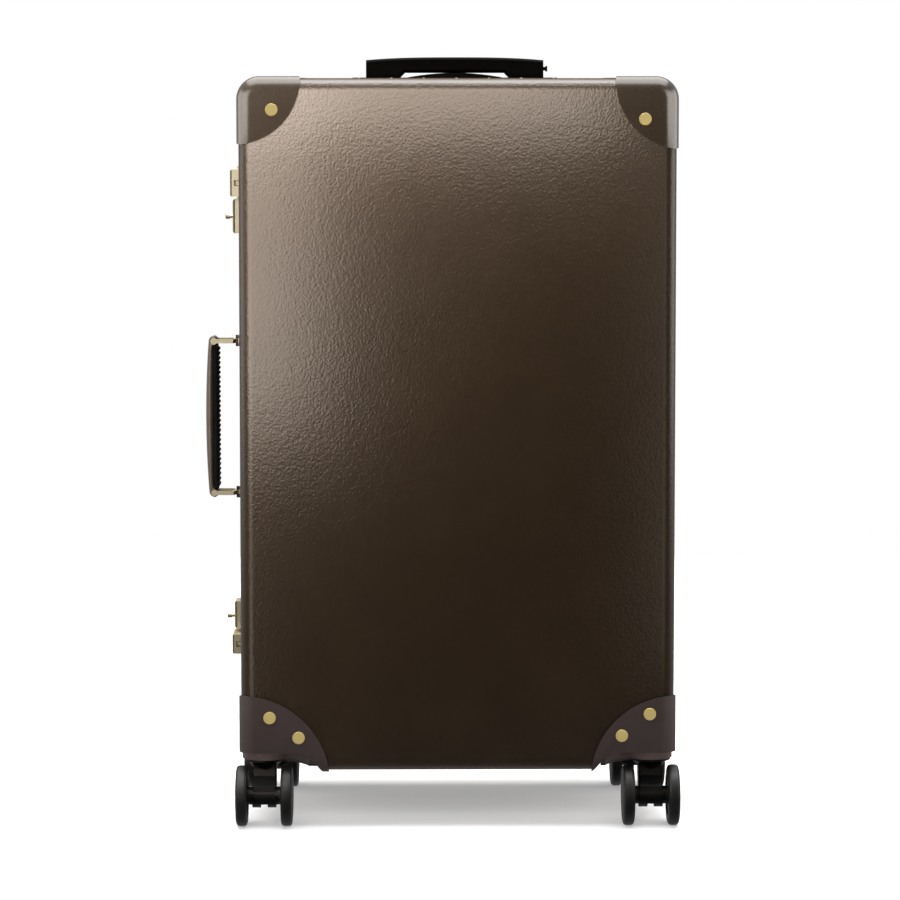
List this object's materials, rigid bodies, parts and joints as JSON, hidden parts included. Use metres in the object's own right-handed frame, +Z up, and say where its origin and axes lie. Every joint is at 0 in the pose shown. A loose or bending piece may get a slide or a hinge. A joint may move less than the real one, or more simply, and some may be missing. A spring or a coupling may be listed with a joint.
{
  "type": "spinner suitcase",
  "caption": "Upright hard suitcase in dark fibre with leather corners, side carry handle and locks, a telescopic trolley handle and swivelling twin-wheel casters.",
  "frame": {"origin": "on the floor, under the middle of the closed case with its trolley handle down", "axes": "+Z up, -Y out of the front panel (lid), -X out of the side with the carry handle and locks, +X out of the hinge side"},
  "size_m": [0.4815, 0.29, 0.7733],
  "materials": {
    "fibre": "vulcanised fibre sheet, fine pebble, satin",
    "leather_top": "smooth pressed leather, satin",
    "leather_bottom": "smooth pressed leather, matt",
    "handle_leather": "stitched leather",
    "rivet_brass": "matt brass",
    "polished_brass": "polished pale brass",
    "rim_pin": "small dome rivets",
    "rim_aluminium": "anodised satin",
    "tube_aluminium": "anodised, drawn",
    "steel": "plain",
    "black_metal": "black enamel",
    "black_plastic": "moulded, fine texture",
    "caster_plastic": "moulded nylon",
    "brown_plastic": "moulded, matt",
    "wheel": "dense rubber tread on a moulded hub",
    "lining_cloth": "woven cotton lining",
    "lining_board": "cloth-covered board"
  },
  "bodies": {
    "base": {"base_corner_bottom_left": "leather_bottom", "base_corner_bottom_right": "leather_bottom", "base_corner_rivets": "rivet_brass", "base_corner_top_left": "leather_top", "base_corner_top_right": "leather_top", "base_lining": "lining_cloth", "base_rim_frame": "rim_aluminium", "base_rim_rivets": "rim_pin", "base_shell": "fibre", "handle_bracket_pins": "steel", "handle_brackets": "black_metal", "hinge_leaves_base": "polished_brass", "hinge_pins": "steel", "lock_bodies": "polished_brass", "lock_pins": "steel", "rear_kingpins": "steel", "rear_wheel_housings": "brown_plastic", "trolley_bezel": "black_plastic", "trolley_cover": "lining_board", "trolley_feet": "black_plastic", "trolley_outer_tubes": "tube_aluminium"},
    "lid": {"lid_corner_bottom_left": "leather_bottom", "lid_corner_bottom_right": "leather_bottom", "lid_corner_rivets": "rivet_brass", "lid_corner_top_left": "leather_top", "lid_corner_top_right": "leather_top", "lid_lining": "lining_cloth", "lid_rim_frame": "rim_aluminium", "lid_rim_rivets": "rim_pin", "lid_shell": "fibre", "hinge_leaves_lid": "polished_brass", "lock_catches": "polished_brass", "front_wheel_housings": "brown_plastic", "front_kingpins": "steel"},
    "upper_hasp": {"upper_lock_hasp": "polished_brass"},
    "lower_hasp": {"lower_lock_hasp": "polished_brass"},
    "upper_knob": {"upper_lock_knob": "polished_brass"},
    "lower_knob": {"lower_lock_knob": "polished_brass"},
    "carry_handle": {"handle_stirrups": "polished_brass", "handle_grip": "handle_leather"},
    "trolley_middle": {"trolley_middle_tubes": "tube_aluminium"},
    "trolley_top": {"trolley_inner_tubes": "tube_aluminium", "trolley_grip": "black_plastic"},
    "trolley_button": {"trolley_button": "black_plastic"},
    "front_left_caster": {"front_left_fork": "caster_plastic", "front_left_axle": "steel"},
    "front_left_outer_wheel": {"front_left_wheel_outer": "wheel"},
    "front_left_inner_wheel": {"front_left_wheel_inner": "wheel"},
    "front_right_caster": {"front_right_fork": "caster_plastic", "front_right_axle": "steel"},
    "front_right_outer_wheel": {"front_right_wheel_outer": "wheel"},
    "front_right_inner_wheel": {"front_right_wheel_inner": "wheel"},
    "rear_left_caster": {"rear_left_fork": "caster_plastic", "rear_left_axle": "steel"},
    "rear_left_outer_wheel": {"rear_left_wheel_outer": "wheel"},
    "rear_left_inner_wheel": {"rear_left_wheel_inner": "wheel"},
    "rear_right_caster": {"rear_right_fork": "caster_plastic", "rear_right_axle": "steel"},
    "rear_right_outer_wheel": {"rear_right_wheel_outer": "wheel"},
    "rear_right_inner_wheel": {"rear_right_wheel_inner": "wheel"}
  },
  "joints": [
    {"name": "lid_hinge", "type": "hinge", "parent": "base", "child": "lid", "pos_m": [0.2375, -0.009, 0.412], "axis": [0, 0, 1], "range_deg": [0, 110]},
    {"name": "upper_hasp_flip", "type": "hinge", "parent": "base", "child": "upper_hasp", "pos_m": [-0.2055, 0.016, 0.6443], "axis": [0, 0, -1], "range_deg": [0, 100]},
    {"name": "lower_hasp_flip", "type": "hinge", "parent": "base", "child": "lower_hasp", "pos_m": [-0.2055, 0.016, 0.1713], "axis": [0, 0, -1], "range_deg": [0, 100]},
    {"name": "upper_knob_slide", "type": "slide", "parent": "base", "child": "upper_knob", "axis": [0, 0, -1], "range_m": [0, 0.007], "stiffness_N_per_m": 150},
    {"name": "lower_knob_slide", "type": "slide", "parent": "base", "child": "lower_knob", "axis": [0, 0, 1], "range_m": [0, 0.007], "stiffness_N_per_m": 150},
    {"name": "carry_handle_swing", "type": "hinge", "parent": "base", "child": "carry_handle", "pos_m": [-0.207, 0.012, 0.403], "axis": [0, 0, 1], "range_deg": [-40, 40]},
    {"name": "trolley_stage_1", "type": "slide", "parent": "base", "child": "trolley_middle", "axis": [0, 0, 1], "range_m": [0, 0.17]},
    {"name": "trolley_stage_2", "type": "slide", "parent": "trolley_middle", "child": "trolley_top", "axis": [0, 0, 1], "range_m": [0, 0.17]},
    {"name": "release_button", "type": "slide", "parent": "trolley_top", "child": "trolley_button", "axis": [-1, 0, 0], "range_m": [0, 0.0022], "stiffness_N_per_m": 300},
    {"name": "front_left_swivel", "type": "hinge", "parent": "lid", "child": "front_left_caster", "pos_m": [-0.1775, -0.099, 0.06], "axis": [0, 0, 1], "continuous": true},
    {"name": "front_left_outer_wheel_spin", "type": "hinge", "parent": "front_left_caster", "child": "front_left_outer_wheel", "pos_m": [-0.1775, -0.115, 0.0305], "axis": [1, 0, 0], "continuous": true},
    {"name": "front_left_inner_wheel_spin", "type": "hinge", "parent": "front_left_caster", "child": "front_left_inner_wheel", "pos_m": [-0.1775, -0.115, 0.0305], "axis": [1, 0, 0], "continuous": true},
    {"name": "front_right_swivel", "type": "hinge", "parent": "lid", "child": "front_right_caster", "pos_m": [0.2115, -0.099, 0.06], "axis": [0, 0, 1], "continuous": true},
    {"name": "front_right_outer_wheel_spin", "type": "hinge", "parent": "front_right_caster", "child": "front_right_outer_wheel", "pos_m": [0.2115, -0.115, 0.0305], "axis": [1, 0, 0], "continuous": true},
    {"name": "front_right_inner_wheel_spin", "type": "hinge", "parent": "front_right_caster", "child": "front_right_inner_wheel", "pos_m": [0.2115, -0.115, 0.0305], "axis": [1, 0, 0], "continuous": true},
    {"name": "rear_left_swivel", "type": "hinge", "parent": "base", "child": "rear_left_caster", "pos_m": [-0.1775, 0.111, 0.06], "axis": [0, 0, 1], "continuous": true},
    {"name": "rear_left_outer_wheel_spin", "type": "hinge", "parent": "rear_left_caster", "child": "rear_left_outer_wheel", "pos_m": [-0.1775, 0.095, 0.0305], "axis": [1, 0, 0], "continuous": true},
    {"name": "rear_left_inner_wheel_spin", "type": "hinge", "parent": "rear_left_caster", "child": "rear_left_inner_wheel", "pos_m": [-0.1775, 0.095, 0.0305], "axis": [1, 0, 0], "continuous": true},
    {"name": "rear_right_swivel", "type": "hinge", "parent": "base", "child": "rear_right_caster", "pos_m": [0.2115, 0.111, 0.06], "axis": [0, 0, 1], "continuous": true},
    {"name": "rear_right_outer_wheel_spin", "type": "hinge", "parent": "rear_right_caster", "child": "rear_right_outer_wheel", "pos_m": [0.2115, 0.095, 0.0305], "axis": [1, 0, 0], "continuous": true},
    {"name": "rear_right_inner_wheel_spin", "type": "hinge", "parent": "rear_right_caster", "child": "rear_right_inner_wheel", "pos_m": [0.2115, 0.095, 0.0305], "axis": [1, 0, 0], "continuous": true}
  ],
  "couplings": [
    {"joint": "trolley_stage_2", "follows": "trolley_stage_1", "ratio": 1}
  ]
}
